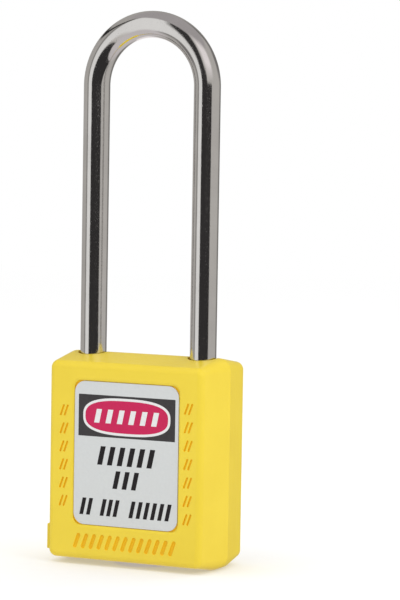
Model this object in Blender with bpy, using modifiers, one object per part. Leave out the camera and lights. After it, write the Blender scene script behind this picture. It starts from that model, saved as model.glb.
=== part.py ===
"""Safety padlock: moulded body, long steel shackle and a six-pin key-retaining cylinder.

Metres, +Z up. The origin is the middle of the bottom's land, the front label faces -Y,
and the shackle's heel leg, the one that never leaves the body, is at -X. The lock is
closed, with its plug turned to the open position, so that both locking balls are drawn in.
"""

import math

import bmesh
import bpy

# Body: a six-sided plan whose sides, roof and bottom rise to a parting ridge at mid-depth.
# The ridge under the bottom is flattened to a narrow land, which the lock stands on.
BODY_HALF_WIDTH_FRONT = 0.0191
BODY_HALF_WIDTH_RIDGE = 0.02085
BODY_HALF_DEPTH = 0.01095
BODY_BOTTOM_RISE = 0.0015
BODY_LAND_HALF_DEPTH = 0.0025
BODY_EDGE_HEIGHT = 0.0458
BODY_RIDGE_HEIGHT = 0.0475
BODY_EDGE_ROUND = 0.0014

# Gaps: between pieces in general, and along the line of a pin stack or a ball
GAP = 0.0003
SLIM_GAP = 0.00015

# Shackle
ROD_RADIUS = 0.003
LEG_OFFSET = 0.0139
CROWN_CLEARANCE = 0.0712
HEEL_END = 0.0073
TOE_END = 0.0328
ARCH_STEPS = 28
SHACKLE_LIFT = 0.0155
NECK_RADIUS = 0.00175
NECK_BOTTOM = 0.0093
LEG_BORE_RADIUS = ROD_RADIUS + 0.0004
BORE_FLOOR_GAP = 0.0006

# Locking balls and the cam that spreads them
BALL_RADIUS = 0.0030
BALL_HEIGHT = 0.0383
BALL_ENGAGEMENT = 0.0011
BALL_SLACK = 0.0003
BALL_CHANNEL_RADIUS = BALL_RADIUS + 0.00025
CAM_THICKNESS = 0.0044
CAM_HEADROOM = 0.0014
CAM_STEPS = 48
LEG_INNER = LEG_OFFSET - ROD_RADIUS
BALL_OUT = LEG_INNER + BALL_ENGAGEMENT - BALL_RADIUS
BALL_IN = LEG_INNER - BALL_SLACK - BALL_RADIUS
CAM_RADIUS_OPEN = BALL_IN - BALL_RADIUS - SLIM_GAP
CAM_RADIUS_LOCKED = BALL_OUT - BALL_RADIUS - SLIM_GAP

# Cylinder: shell with a bible towards the back, plug, six pin stacks
FACE_HEIGHT = 0.0013
SHELL_RADIUS = 0.0065
SHELL_TOP = 0.0333
PLUG_RADIUS = 0.0042
PLUG_HEAD_RADIUS = 0.0049
PLUG_HEAD_TOP = 0.0036
TAIL_RADIUS = 0.0026
TAIL_TOP = 0.0358
CLIP_GROOVE_RADIUS = 0.0019
CLIP_BOTTOM = SHELL_TOP + 0.0004
CLIP_THICKNESS = 0.0008
CLIP_OUTER_RADIUS = 0.0052
CLIP_HALF_MOUTH = math.radians(38)
CLIP_STEPS = 28
TANG_WIDTH = 0.0044
TANG_DEPTH = 0.0018
TANG_TOP = 0.0383
BIBLE_HALF_WIDTH = 0.0028
BIBLE_BACK = 0.0089
KEYWAY_WIDTH = 0.0015
KEYWAY_X = (-0.0034, 0.0022)
KEYWAY_TOP = 0.0278
PIN_COUNT = 6
FIRST_PIN_HEIGHT = 0.0063
PIN_PITCH = 0.0034
PIN_RADIUS = 0.0011
CHAMBER_RADIUS = 0.0014
KEY_PIN_LENGTHS = (0.0023, 0.0029, 0.0025, 0.0031, 0.0027, 0.0024)
KEY_PIN_OUTER_END = 0.0040
KEY_PIN_TIP_LENGTH = 0.0005
KEY_PIN_TIP_RADIUS = 0.0004
CHAMBER_FLOOR = 0.0005
DRIVER_START = PLUG_RADIUS + SLIM_GAP
DRIVER_LENGTH = 0.0020
DRIVER_CHAMFER = 0.0002
COVER_HALF_WIDTH = 0.0016
COVER_INNER = 0.00845
COVER_OUTER = 0.0088
COVER_Z = (0.0043, 0.0253)
SPRING_COIL_RADIUS = 0.0008
SPRING_WIRE_RADIUS = 0.00018
SPRING_TURNS = 3
SPRING_STEPS_PER_TURN = 10

# Pins that hold the shackle and the cylinder in the body
HOLDER_RADIUS = 0.0010
HOLDER_HOLE_RADIUS = 0.00125
SHACKLE_PIN_GAP = 0.00025
CYLINDER_PIN_Y = -0.0069
CYLINDER_PIN_Z = 0.00575
CYLINDER_PIN_X = (-0.0167, 0.0040)
SIDE_PLUG_Y = -0.00745
SIDE_PLUG_LENGTH = 0.0049
SIDE_PLUG_HEIGHT = 0.0057
SIDE_PLUG_STAND = 0.0007
SIDE_PLUG_SEAT = 0.0008
SPIGOT_RADIUS = 0.0010
SPIGOT_END = -0.0170

# Labels and the recesses that they sit in, the same at the front and the back
LABEL_WIDTH = 0.0261
LABEL_HEIGHT = 0.0324
LABEL_CENTRE_HEIGHT = 0.02545
LABEL_CORNER = 0.0026
LABEL_THICKNESS = 0.0003
LABEL_SINK = 0.0002
LABEL_BACK_GAP = 0.00005
RECESS_MARGIN = 0.00045
RECESS_DEPTH = LABEL_SINK + LABEL_THICKNESS + LABEL_BACK_GAP

FINE, COARSE, TINY = 40, 24, 12
OVERSHOOT = 0.002

ARCH_RADIUS = LEG_OFFSET
ARCH_CENTRE = BODY_RIDGE_HEIGHT + CROWN_CLEARANCE + ROD_RADIUS - ARCH_RADIUS
SHACKLE_PIN_HEIGHT = NECK_BOTTOM + SHACKLE_LIFT + GAP + HOLDER_RADIUS
NECK_TOP = SHACKLE_PIN_HEIGHT + HOLDER_RADIUS + GAP
SIDE_LEAN = math.atan2(BODY_HALF_WIDTH_RIDGE - BODY_HALF_WIDTH_FRONT, BODY_HALF_DEPTH)


def empty_scene():
    for obj in list(bpy.data.objects):
        bpy.data.objects.remove(obj, do_unlink=True)


def new_collection(name):
    collection = bpy.data.collections.new(name)
    bpy.context.scene.collection.children.link(collection)
    return collection


def new_object(name, data, collection):
    obj = bpy.data.objects.new(name, data)
    collection.objects.link(obj)
    return obj


def mesh_object(name, bm, collection):
    mesh = bpy.data.meshes.new(name)
    bmesh.ops.recalc_face_normals(bm, faces=bm.faces)
    bm.to_mesh(mesh)
    bm.free()
    return new_object(name, mesh, collection)


def shade_round(obj):
    obj.data.shade_smooth()
    obj.data.set_sharp_from_angle(angle=math.radians(35))


def block(name, low, high, collection):
    """A box between two corners."""
    bm = bmesh.new()
    bmesh.ops.create_cube(bm, size=1)
    size = [b - a for a, b in zip(low, high)]
    bmesh.ops.scale(bm, vec=size, verts=bm.verts)
    bmesh.ops.translate(bm, vec=[(a + b) / 2 for a, b in zip(low, high)], verts=bm.verts)
    return mesh_object(name, bm, collection)


def rod(name, radius, start, end, collection, axis="Z", across=(0, 0), sides=COARSE):
    """A cylinder along an axis, from start to end; across is its place on the other two axes."""
    bm = bmesh.new()
    bmesh.ops.create_cone(
        bm, cap_ends=True, segments=sides, radius1=radius, radius2=radius, depth=end - start
    )
    obj = mesh_object(name, bm, collection)
    middle = (start + end) / 2
    if axis == "X":
        obj.rotation_euler = (0, math.pi / 2, 0)
        obj.location = (middle, across[0], across[1])
    elif axis == "Y":
        obj.rotation_euler = (math.pi / 2, 0, 0)
        obj.location = (across[0], middle, across[1])
    else:
        obj.location = (across[0], across[1], middle)
    shade_round(obj)
    return obj


def turned(name, profile, collection, sides=COARSE):
    """A profile of (radius, height) points, top to bottom, turned about the object's Z axis."""
    mesh = bpy.data.meshes.new(name)
    points = [(radius, 0, height) for radius, height in profile]
    mesh.from_pydata(points, [(i, i + 1) for i in range(len(points) - 1)], [])
    obj = new_object(name, mesh, collection)
    screw = obj.modifiers.new("turn", "SCREW")
    screw.steps = screw.render_steps = sides
    screw.use_merge_vertices = True
    screw.merge_threshold = 1e-6
    screw.use_smooth_shade = True
    return obj


def curve_to_mesh(curve_object, collection):
    """The curve object's solid as a mesh object of the same name and place."""
    bpy.context.view_layer.update()
    graph = bpy.context.evaluated_depsgraph_get()
    name = curve_object.name
    place = curve_object.matrix_world.copy()
    mesh = bpy.data.meshes.new_from_object(curve_object.evaluated_get(graph))
    bm = bmesh.new()
    bm.from_mesh(mesh)
    bmesh.ops.remove_doubles(bm, verts=bm.verts, dist=1e-7)
    bmesh.ops.recalc_face_normals(bm, faces=bm.faces)
    bm.to_mesh(mesh)
    bm.free()
    bpy.data.objects.remove(curve_object, do_unlink=True)
    obj = new_object(name, mesh, collection)
    obj.matrix_world = place
    return obj


def flat_solid(name, outline, thickness, collection):
    """A closed outline in the XY plane, filled and given a thickness about that plane."""
    curve = bpy.data.curves.new(name, "CURVE")
    curve.dimensions = "2D"
    curve.fill_mode = "BOTH"
    curve.extrude = thickness / 2
    spline = curve.splines.new("POLY")
    spline.points.add(len(outline) - 1)
    for point, (x, y) in zip(spline.points, outline):
        point.co = (x, y, 0, 1)
    spline.use_cyclic_u = True
    return curve_to_mesh(new_object(name, curve, collection), collection)


def tube(name, points, radius, resolution, collection):
    """A round bar along a list of points."""
    curve = bpy.data.curves.new(name, "CURVE")
    curve.dimensions = "3D"
    curve.bevel_depth = radius
    curve.bevel_resolution = resolution
    curve.use_fill_caps = True
    spline = curve.splines.new("POLY")
    spline.points.add(len(points) - 1)
    for point, place in zip(spline.points, points):
        point.co = (*place, 1)
    return curve_to_mesh(new_object(name, curve, collection), collection)


def boolean(target, other, operation):
    modifier = target.modifiers.new(f"{operation.lower()} {other.name}", "BOOLEAN")
    modifier.operation = operation
    modifier.solver = "EXACT"
    modifier.object = other
    other.hide_render = True
    other.display_type = "WIRE"


def cut(target, *cutters):
    for cutter in cutters:
        boolean(target, cutter, "DIFFERENCE")


def join(target, *others):
    for other in others:
        boolean(target, other, "UNION")


def paint(material, *objects):
    for obj in objects:
        obj.data.materials.clear()
        obj.data.materials.append(material)


def plain_material(name, colour, roughness, metallic):
    material = bpy.data.materials.new(name)
    material.use_nodes = True
    shader = material.node_tree.nodes["Principled BSDF"]
    shader.inputs["Base Color"].default_value = (*colour, 1)
    shader.inputs["Roughness"].default_value = roughness
    shader.inputs["Metallic"].default_value = metallic
    material.diffuse_color = (*colour, 1)
    return material


def rounded_rectangle(width, height, corner, steps=6):
    """Outline points of a rectangle with round corners, centred on the origin."""
    points = []
    for quarter, (sx, sy) in enumerate(((1, 1), (-1, 1), (-1, -1), (1, -1))):
        centre = sx * (width / 2 - corner), sy * (height / 2 - corner)
        for step in range(steps + 1):
            angle = (quarter + step / steps) * math.pi / 2
            points.append(
                (centre[0] + corner * math.cos(angle), centre[1] + corner * math.sin(angle))
            )
    return points


def body_block(collection):
    """The six-sided block with ridged sides, roof and bottom, its outer edges rounded."""
    land_half_width = BODY_HALF_WIDTH_RIDGE - BODY_LAND_HALF_DEPTH * math.tan(SIDE_LEAN)
    bm = bmesh.new()
    for side in (-1, 1):
        bm.verts.new((side * BODY_HALF_WIDTH_RIDGE, 0, 0))
        bm.verts.new((side * BODY_HALF_WIDTH_RIDGE, 0, BODY_RIDGE_HEIGHT))
        for face in (-1, 1):
            x, y = side * BODY_HALF_WIDTH_FRONT, face * BODY_HALF_DEPTH
            bm.verts.new((x, y, BODY_BOTTOM_RISE))
            bm.verts.new((x, y, BODY_EDGE_HEIGHT))
            bm.verts.new((side * land_half_width, face * BODY_LAND_HALF_DEPTH, 0))
    bmesh.ops.convex_hull(bm, input=bm.verts)
    bmesh.ops.dissolve_limit(bm, angle_limit=math.radians(1), verts=bm.verts, edges=bm.edges)
    body = mesh_object("body_shell", bm, collection)
    bevel = body.modifiers.new("rounded edges", "BEVEL")
    bevel.width = BODY_EDGE_ROUND
    bevel.segments = 4
    bevel.limit_method = "ANGLE"
    bevel.angle_limit = math.radians(40)
    return body


def leg_bore(name, x, floor, cutters):
    return rod(
        name, LEG_BORE_RADIUS, floor, BODY_RIDGE_HEIGHT + OVERSHOOT, cutters, across=(x, 0), sides=FINE
    )


def label_plate(name, width, height, corner, thickness, front, depth, collection):
    """A round-cornered plate parallel to the front; depth is from the body's face to its middle."""
    obj = flat_solid(name, rounded_rectangle(width, height, corner), thickness, collection)
    side = -1 if front else 1
    obj.rotation_euler = (math.pi / 2, 0, 0)
    obj.location = (0, side * (BODY_HALF_DEPTH - depth), LABEL_CENTRE_HEIGHT)
    return obj


def label_recess(name, front, cutters):
    """The cutter of a label's recess: it starts outside the face and ends at the recess's floor."""
    thickness = RECESS_DEPTH + OVERSHOOT
    return label_plate(
        name,
        LABEL_WIDTH + 2 * RECESS_MARGIN,
        LABEL_HEIGHT + 2 * RECESS_MARGIN,
        LABEL_CORNER + RECESS_MARGIN,
        thickness,
        front,
        RECESS_DEPTH - thickness / 2,
        cutters,
    )


def side_plug_block(name, grow, inner, outer, collection):
    """A block on the left side facet, by how far it reaches in and out and is grown around."""
    half_length = SIDE_PLUG_LENGTH / 2 + grow
    half_height = SIDE_PLUG_HEIGHT / 2 + grow
    obj = block(
        name, (-outer, -half_length, -half_height), (inner, half_length, half_height), collection
    )
    from_front = SIDE_PLUG_Y + BODY_HALF_DEPTH
    x = -(BODY_HALF_WIDTH_FRONT + from_front * math.tan(SIDE_LEAN))
    obj.location = (x, SIDE_PLUG_Y, CYLINDER_PIN_Z)
    obj.rotation_euler = (0, 0, SIDE_LEAN)
    return obj


def make_body(parts, cutters):
    body = body_block(parts)
    cavity_radius = SHELL_RADIUS + GAP
    chamber_top = BALL_HEIGHT + CAM_THICKNESS / 2 + CAM_HEADROOM
    cut(
        body,
        rod("cut_cylinder_cavity", cavity_radius, -OVERSHOOT, chamber_top, cutters, sides=FINE),
        block(
            "cut_bible_cavity",
            (-BIBLE_HALF_WIDTH - GAP, 0, -OVERSHOOT),
            (BIBLE_HALF_WIDTH + GAP, BIBLE_BACK + GAP, SHELL_TOP + GAP),
            cutters,
        ),
        leg_bore("cut_toe_bore", LEG_OFFSET, TOE_END - BORE_FLOOR_GAP, cutters),
        leg_bore("cut_heel_bore", -LEG_OFFSET, HEEL_END - BORE_FLOOR_GAP, cutters),
        rod(
            "cut_ball_channel",
            BALL_CHANNEL_RADIUS,
            -LEG_OFFSET,
            LEG_OFFSET,
            cutters,
            axis="X",
            across=(0, BALL_HEIGHT),
        ),
        rod(
            "cut_shackle_pin_hole",
            HOLDER_HOLE_RADIUS,
            -LEG_OFFSET,
            0,
            cutters,
            axis="X",
            across=(0, SHACKLE_PIN_HEIGHT),
            sides=TINY,
        ),
        rod(
            "cut_cylinder_pin_hole",
            HOLDER_HOLE_RADIUS,
            -BODY_HALF_WIDTH_RIDGE - OVERSHOOT,
            CYLINDER_PIN_X[1] + GAP,
            cutters,
            axis="X",
            across=(CYLINDER_PIN_Y, CYLINDER_PIN_Z),
            sides=TINY,
        ),
        side_plug_block("cut_side_plug_seat", GAP, SIDE_PLUG_SEAT + GAP, OVERSHOOT, cutters),
        label_recess("cut_front_recess", True, cutters),
        label_recess("cut_rear_recess", False, cutters),
    )
    return body


def make_side_plug(parts, cutters):
    plug = side_plug_block("side_plug", 0, SIDE_PLUG_SEAT, SIDE_PLUG_STAND, parts)
    start = -BODY_HALF_WIDTH_FRONT
    place = (CYLINDER_PIN_Y, CYLINDER_PIN_Z)
    join(
        plug,
        rod("join_spigot", SPIGOT_RADIUS, start, SPIGOT_END, cutters, "X", place, sides=TINY),
    )
    return plug


def shackle_path():
    """Centre line of the shackle: up the heel leg, round the half circle and down the toe leg."""
    points = [(-LEG_OFFSET, 0, HEEL_END)]
    for step in range(ARCH_STEPS + 1):
        angle = math.pi * (1 - step / ARCH_STEPS)
        x = ARCH_RADIUS * math.cos(angle)
        points.append((x, 0, ARCH_CENTRE + ARCH_RADIUS * math.sin(angle)))
    points.append((LEG_OFFSET, 0, TOE_END))
    return points


def make_shackle(parts, cutters):
    shackle = tube("shackle", shackle_path(), ROD_RADIUS, 8, parts)
    ring_profile = [
        (ROD_RADIUS + OVERSHOOT, NECK_TOP),
        (ROD_RADIUS + OVERSHOOT, NECK_BOTTOM),
        (NECK_RADIUS, NECK_BOTTOM),
        (NECK_RADIUS, NECK_TOP),
        (ROD_RADIUS + OVERSHOOT, NECK_TOP),
    ]
    ring = turned("cut_heel_neck", ring_profile, cutters)
    ring.location = (-LEG_OFFSET, 0, 0)
    cut(shackle, ring)
    for name, side in (("toe", 1), ("heel", -1)):
        across = (side * BALL_OUT, BALL_HEIGHT)
        notch = rod(
            f"cut_{name}_notch",
            BALL_CHANNEL_RADIUS,
            -ROD_RADIUS - OVERSHOOT,
            ROD_RADIUS + OVERSHOOT,
            cutters,
            axis="Y",
            across=across,
        )
        cut(shackle, notch)
    shade_round(shackle)
    return shackle


def pin_height(index):
    return FIRST_PIN_HEIGHT + PIN_PITCH * index


def make_cylinder_shell(parts, cutters):
    shell = rod("cylinder_shell", SHELL_RADIUS, FACE_HEIGHT, SHELL_TOP, parts, sides=FINE)
    bible = block(
        "join_bible",
        (-BIBLE_HALF_WIDTH, SHELL_RADIUS / 2, FACE_HEIGHT),
        (BIBLE_HALF_WIDTH, BIBLE_BACK, SHELL_TOP),
        cutters,
    )
    join(shell, bible)
    cut(
        shell,
        rod("cut_plug_bore", PLUG_RADIUS + GAP, 0, SHELL_TOP + OVERSHOOT, cutters, sides=FINE),
        rod("cut_plug_head", PLUG_HEAD_RADIUS + GAP, 0, PLUG_HEAD_TOP + GAP, cutters, sides=FINE),
        rod(
            "cut_cross_groove",
            HOLDER_RADIUS + GAP,
            -SHELL_RADIUS,
            SHELL_RADIUS,
            cutters,
            axis="X",
            across=(CYLINDER_PIN_Y, CYLINDER_PIN_Z),
            sides=TINY,
        ),
        block(
            "cut_cover_channel",
            (-COVER_HALF_WIDTH - GAP, COVER_INNER - GAP / 2, COVER_Z[0] - GAP),
            (COVER_HALF_WIDTH + GAP, BIBLE_BACK + OVERSHOOT, COVER_Z[1] + GAP),
            cutters,
        ),
    )
    for index in range(PIN_COUNT):
        cut(
            shell,
            rod(
                f"cut_driver_chamber_{index + 1}",
                CHAMBER_RADIUS,
                PLUG_RADIUS - 2 * GAP,
                BIBLE_BACK,
                cutters,
                axis="Y",
                across=(0, pin_height(index)),
                sides=TINY,
            ),
        )
    return shell


def make_plug(parts, cutters):
    """The plug, at rest with its pin chambers towards +X and its keyway towards -X."""
    clip_top = CLIP_BOTTOM + CLIP_THICKNESS
    profile = [
        (0, TAIL_TOP),
        (TAIL_RADIUS, TAIL_TOP),
        (TAIL_RADIUS, clip_top + GAP),
        (CLIP_GROOVE_RADIUS, clip_top + GAP),
        (CLIP_GROOVE_RADIUS, SHELL_TOP),
        (PLUG_RADIUS, SHELL_TOP),
        (PLUG_RADIUS, PLUG_HEAD_TOP),
        (PLUG_HEAD_RADIUS, PLUG_HEAD_TOP),
        (PLUG_HEAD_RADIUS, FACE_HEIGHT),
        (0, FACE_HEIGHT),
    ]
    plug = turned("cylinder_plug", profile, parts, sides=FINE)
    tang = block(
        "join_tang",
        (-TANG_WIDTH / 2, -TANG_DEPTH / 2, TAIL_TOP - GAP),
        (TANG_WIDTH / 2, TANG_DEPTH / 2, TANG_TOP),
        cutters,
    )
    join(plug, tang)
    keyway = block(
        "cut_keyway",
        (KEYWAY_X[0], -KEYWAY_WIDTH / 2, -OVERSHOOT),
        (KEYWAY_X[1], KEYWAY_WIDTH / 2, KEYWAY_TOP),
        cutters,
    )
    cut(plug, keyway)
    for index in range(PIN_COUNT):
        cut(
            plug,
            rod(
                f"cut_key_chamber_{index + 1}",
                CHAMBER_RADIUS,
                CHAMBER_FLOOR,
                PLUG_RADIUS + OVERSHOOT,
                cutters,
                axis="X",
                across=(0, pin_height(index)),
                sides=TINY,
            ),
        )
    return plug


def make_clip(parts):
    """A C-shaped snap ring in the plug's tail groove, open towards -Y."""
    inner = CLIP_GROOVE_RADIUS + GAP
    start = -math.pi / 2 + CLIP_HALF_MOUTH
    sweep = 2 * math.pi - 2 * CLIP_HALF_MOUTH
    angles = [start + sweep * step / CLIP_STEPS for step in range(CLIP_STEPS + 1)]
    outline = [(CLIP_OUTER_RADIUS * math.cos(a), CLIP_OUTER_RADIUS * math.sin(a)) for a in angles]
    outline += [(inner * math.cos(a), inner * math.sin(a)) for a in reversed(angles)]
    clip = flat_solid("plug_clip", outline, CLIP_THICKNESS, parts)
    clip.location = (0, 0, CLIP_BOTTOM + CLIP_THICKNESS / 2)
    return clip


def make_cam(parts, cutters):
    """An oval whose radius grows in proportion to the angle from its short axis, which is on X."""
    rise = CAM_RADIUS_LOCKED - CAM_RADIUS_OPEN
    outline = []
    for step in range(CAM_STEPS):
        angle = 2 * math.pi * step / CAM_STEPS
        from_short_axis = abs((angle + math.pi / 2) % math.pi - math.pi / 2)
        radius = CAM_RADIUS_OPEN + rise * from_short_axis / (math.pi / 2)
        outline.append((radius * math.cos(angle), radius * math.sin(angle)))
    cam = flat_solid("lock_cam", outline, CAM_THICKNESS, parts)
    cam.location = (0, 0, BALL_HEIGHT)
    pocket = block(
        "cut_cam_pocket",
        (-TANG_WIDTH / 2 - GAP, -TANG_DEPTH / 2 - GAP, BALL_HEIGHT - CAM_THICKNESS),
        (TANG_WIDTH / 2 + GAP, TANG_DEPTH / 2 + GAP, TANG_TOP + GAP),
        cutters,
    )
    cut(cam, pocket)
    return cam


def make_ball(name, side, parts):
    bm = bmesh.new()
    bmesh.ops.create_uvsphere(bm, u_segments=20, v_segments=12, radius=BALL_RADIUS)
    ball = mesh_object(name, bm, parts)
    ball.location = (side * BALL_IN, 0, BALL_HEIGHT)
    shade_round(ball)
    return ball


def make_pin_stack(index, parts):
    """Key pin in the plug, driver pin and spring in the bible; each origin is on its slide axis."""
    number = index + 1
    height = pin_height(index)
    length = KEY_PIN_LENGTHS[index]
    key_profile = [
        (0, length),
        (PIN_RADIUS, length),
        (PIN_RADIUS, KEY_PIN_TIP_LENGTH),
        (KEY_PIN_TIP_RADIUS, 0),
        (0, 0),
    ]
    key_pin = turned(f"key_pin_{number}", key_profile, parts, sides=TINY)
    key_pin.rotation_euler = (0, math.pi / 2, 0)
    key_pin.location = (KEY_PIN_OUTER_END - length, 0, height)

    driver_profile = [
        (0, DRIVER_LENGTH),
        (PIN_RADIUS - DRIVER_CHAMFER, DRIVER_LENGTH),
        (PIN_RADIUS, DRIVER_LENGTH - DRIVER_CHAMFER),
        (PIN_RADIUS, DRIVER_CHAMFER),
        (PIN_RADIUS - DRIVER_CHAMFER, 0),
        (0, 0),
    ]
    driver = turned(f"driver_pin_{number}", driver_profile, parts, sides=TINY)
    driver.rotation_euler = (-math.pi / 2, 0, 0)
    driver.location = (0, DRIVER_START, height)

    start = DRIVER_START + DRIVER_LENGTH + SLIM_GAP + SPRING_WIRE_RADIUS
    end = COVER_INNER - SLIM_GAP - SPRING_WIRE_RADIUS
    steps = SPRING_TURNS * SPRING_STEPS_PER_TURN
    coil = []
    for step in range(steps + 1):
        angle = 2 * math.pi * SPRING_TURNS * step / steps
        y = start + (end - start) * step / steps
        x, z = SPRING_COIL_RADIUS * math.cos(angle), SPRING_COIL_RADIUS * math.sin(angle)
        coil.append((x, y - start, z))
    spring = tube(f"pin_spring_{number}", coil, SPRING_WIRE_RADIUS, 1, parts)
    spring.location = (0, start, height)
    shade_round(spring)
    return key_pin, driver, spring


def make_spring_cover(parts):
    low = (-COVER_HALF_WIDTH, COVER_INNER, COVER_Z[0])
    return block("spring_cover", low, (COVER_HALF_WIDTH, COVER_OUTER, COVER_Z[1]), parts)


def make_holder_pins(parts):
    """The pin that stops the heel leg, and the cross pin that keeps the cylinder in."""
    cavity = SHELL_RADIUS + GAP
    tip = LEG_OFFSET - NECK_RADIUS - SHACKLE_PIN_GAP
    shackle_pin = rod(
        "shackle_retaining_pin",
        HOLDER_RADIUS,
        -tip,
        -cavity,
        parts,
        axis="X",
        across=(0, SHACKLE_PIN_HEIGHT),
        sides=TINY,
    )
    cylinder_pin = rod(
        "cylinder_pin",
        HOLDER_RADIUS,
        CYLINDER_PIN_X[0],
        CYLINDER_PIN_X[1],
        parts,
        axis="X",
        across=(CYLINDER_PIN_Y, CYLINDER_PIN_Z),
        sides=TINY,
    )
    return shackle_pin, cylinder_pin


def make_labels(parts):
    depth = LABEL_SINK + LABEL_THICKNESS / 2
    return [
        label_plate(
            name, LABEL_WIDTH, LABEL_HEIGHT, LABEL_CORNER, LABEL_THICKNESS, front, depth, parts
        )
        for name, front in (("front_label", True), ("rear_label", False))
    ]


def main():
    empty_scene()
    parts = new_collection("safety_padlock")
    cutters = new_collection("cutters")

    yellow = plain_material("yellow_thermoplastic", (0.86, 0.63, 0.06), 0.38, 0)
    print_film = plain_material("label_film", (0.66, 0.68, 0.67), 0.45, 0)
    chrome = plain_material("chromed_steel", (0.78, 0.78, 0.8), 0.12, 1)
    brass = plain_material("cylinder_brass", (0.72, 0.55, 0.27), 0.3, 1)
    pin_brass = plain_material("pin_brass", (0.8, 0.62, 0.3), 0.25, 1)
    steel = plain_material("bright_steel", (0.6, 0.6, 0.62), 0.25, 1)
    spring_steel = plain_material("spring_steel", (0.5, 0.5, 0.52), 0.3, 1)

    paint(yellow, make_body(parts, cutters), make_side_plug(parts, cutters))
    paint(print_film, *make_labels(parts))
    paint(chrome, make_shackle(parts, cutters))
    paint(brass, make_cylinder_shell(parts, cutters), make_plug(parts, cutters))
    paint(steel, make_clip(parts), make_cam(parts, cutters), *make_holder_pins(parts))
    paint(steel, make_ball("locking_ball_toe", 1, parts), make_ball("locking_ball_heel", -1, parts))
    paint(spring_steel, make_spring_cover(parts))
    for index in range(PIN_COUNT):
        key_pin, driver, spring = make_pin_stack(index, parts)
        paint(pin_brass, key_pin, driver)
        paint(spring_steel, spring)


main()
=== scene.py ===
"""The looks of the safety padlock: its moulded body, chromed shackle, labels, plug and pins."""

import math

import bmesh
import bpy
from mathutils import Matrix, Vector


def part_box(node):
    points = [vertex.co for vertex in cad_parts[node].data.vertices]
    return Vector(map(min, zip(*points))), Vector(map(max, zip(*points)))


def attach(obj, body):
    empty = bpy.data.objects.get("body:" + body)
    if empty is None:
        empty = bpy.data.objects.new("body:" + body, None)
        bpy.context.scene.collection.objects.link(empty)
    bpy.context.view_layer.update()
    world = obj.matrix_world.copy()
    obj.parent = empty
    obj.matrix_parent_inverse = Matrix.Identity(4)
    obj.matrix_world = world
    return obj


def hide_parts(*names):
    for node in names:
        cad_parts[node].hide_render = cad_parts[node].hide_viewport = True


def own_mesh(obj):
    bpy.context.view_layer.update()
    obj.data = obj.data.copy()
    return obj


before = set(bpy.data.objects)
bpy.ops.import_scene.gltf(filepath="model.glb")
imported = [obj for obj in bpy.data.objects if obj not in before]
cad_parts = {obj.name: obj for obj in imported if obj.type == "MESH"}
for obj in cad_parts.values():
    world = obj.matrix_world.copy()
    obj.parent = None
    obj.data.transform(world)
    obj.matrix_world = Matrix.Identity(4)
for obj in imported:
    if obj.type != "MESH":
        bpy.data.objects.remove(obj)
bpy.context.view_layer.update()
MM = 0.001

# Places and sizes that the frame gives
BODY_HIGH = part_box("body_shell")[1]
SHACKLE_LOW, SHACKLE_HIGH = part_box("shackle")
LABEL_LOW, LABEL_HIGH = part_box("front_label")
SHELL_LOW, SHELL_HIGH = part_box("cylinder_shell")
CAM_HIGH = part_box("lock_cam")[1]
BALL_LOW, BALL_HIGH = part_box("locking_ball_toe")
PIN_LOW, PIN_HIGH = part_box("shackle_retaining_pin")
CROSS_LOW, CROSS_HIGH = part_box("cylinder_pin")
PLUG_LOW, PLUG_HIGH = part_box("side_plug")
CORE_LOW, CORE_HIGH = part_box("cylinder_plug")
CLIP_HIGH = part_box("plug_clip")[1]
COVER_LOW, COVER_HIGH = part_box("spring_cover")
FIRST_PIN_LOW, FIRST_PIN_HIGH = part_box("key_pin_1")
LAST_PIN_LOW, LAST_PIN_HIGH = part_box("key_pin_6")

# ROD is the rod's radius and LEG a leg's distance from the middle
ROD = SHACKLE_HIGH.y
LEG = SHACKLE_HIGH.x - ROD
HALF_DEPTH = BODY_HIGH.y
ARCH_CENTRE = SHACKLE_HIGH.z - ROD - LEG
TOE_END = min(v.co.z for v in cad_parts["shackle"].data.vertices if v.co.x > 0)
BALL_HEIGHT = (BALL_LOW.z + BALL_HIGH.z) / 2
BALL_RADIUS = (BALL_HIGH.z - BALL_LOW.z) / 2
PIN_HEIGHT = (PIN_LOW.z + PIN_HIGH.z) / 2
PIN_RADIUS = (PIN_HIGH.z - PIN_LOW.z) / 2
CROSS_PLACE = ((CROSS_LOW.y + CROSS_HIGH.y) / 2, (CROSS_LOW.z + CROSS_HIGH.z) / 2)
CROSS_RADIUS = (CROSS_HIGH.z - CROSS_LOW.z) / 2
FIRST_PIN = (FIRST_PIN_LOW.z + FIRST_PIN_HIGH.z) / 2
LAST_PIN = (LAST_PIN_LOW.z + LAST_PIN_HIGH.z) / 2
PINS = 6
LABEL_CENTRE = (LABEL_LOW.z + LABEL_HIGH.z) / 2
LABEL_WIDTH = LABEL_HIGH.x - LABEL_LOW.x
LABEL_HEIGHT = LABEL_HIGH.z - LABEL_LOW.z
LABEL_FACE = -LABEL_LOW.y
LABEL_BACK = -LABEL_HIGH.y

# Body: how far its front edges are inside its ridge, and its roundings
FRONT_INSET = 1.75 * MM
ROOF_DROP = 1.7 * MM
BOTTOM_RISE = 1.5 * MM
LAND_HALF_DEPTH = 2.5 * MM
SIDE_ROUND = 1.55 * MM
TOP_ROUND = 1.6 * MM
BOTTOM_ROUND = 1.5 * MM
RIDGE_CORNER = 3.0 * MM
FRONT_CORNER = 1.65 * MM
RIDGE_SOFTENING = 0.15 * MM
RIM_ROUND = 0.22 * MM
GAP = 0.3 * MM
BORE_GAP = 0.12 * MM
MOUTH_GAP = 0.4 * MM
MOUTH_DEPTH = 1.1 * MM
HOLE_GAP = 0.25 * MM
CAVITY_ABOVE_CAM = 1.4 * MM
OVERCUT = 2 * MM

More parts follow.
